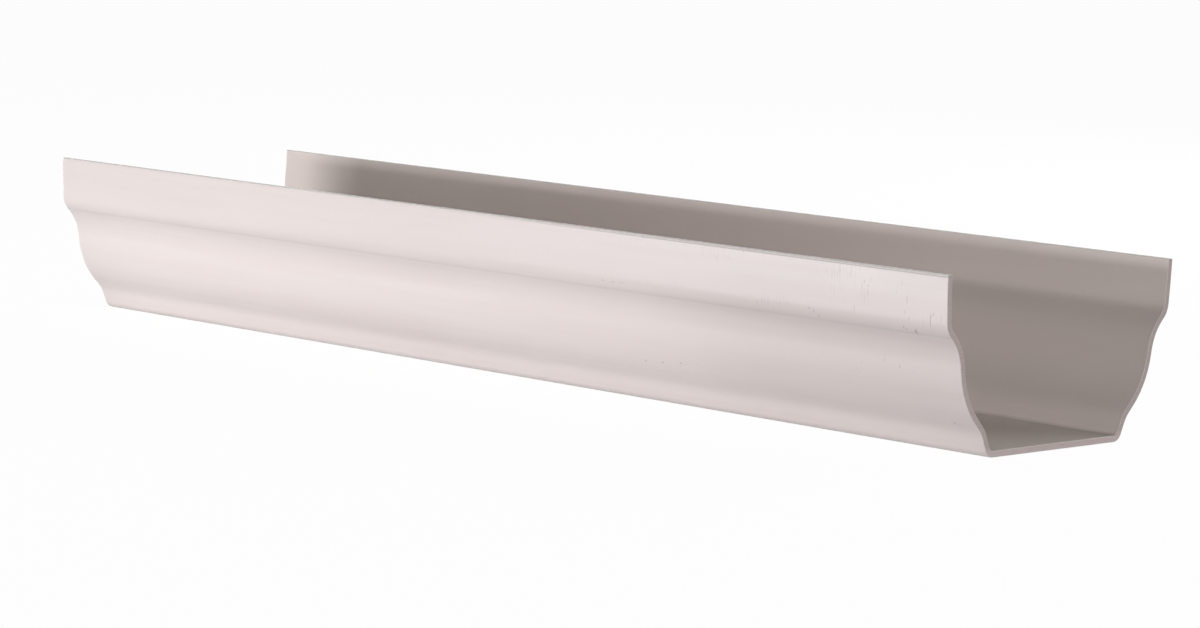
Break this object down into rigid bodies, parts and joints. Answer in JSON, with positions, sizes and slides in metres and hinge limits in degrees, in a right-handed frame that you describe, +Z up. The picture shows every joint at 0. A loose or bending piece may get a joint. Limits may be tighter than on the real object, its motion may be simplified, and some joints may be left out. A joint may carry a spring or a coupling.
{
  "type": "gutter section",
  "caption": "Short length of symmetric ogee rainwater gutter in pale PVC-U, open along the top and sawn square at both ends.",
  "frame": {"origin": "on the underside of the sole, midway along the length and midway across the width", "axes": "+X along the gutter, +Y across it, +Z up out of the open trough"},
  "size_m": [0.49, 0.13, 0.066],
  "materials": {
    "gutter_channel": "satin extruded PVC-U, pale pinkish white"
  },
  "bodies": {
    "root": {"gutter_channel": "gutter_channel"}
  },
  "joints": []
}
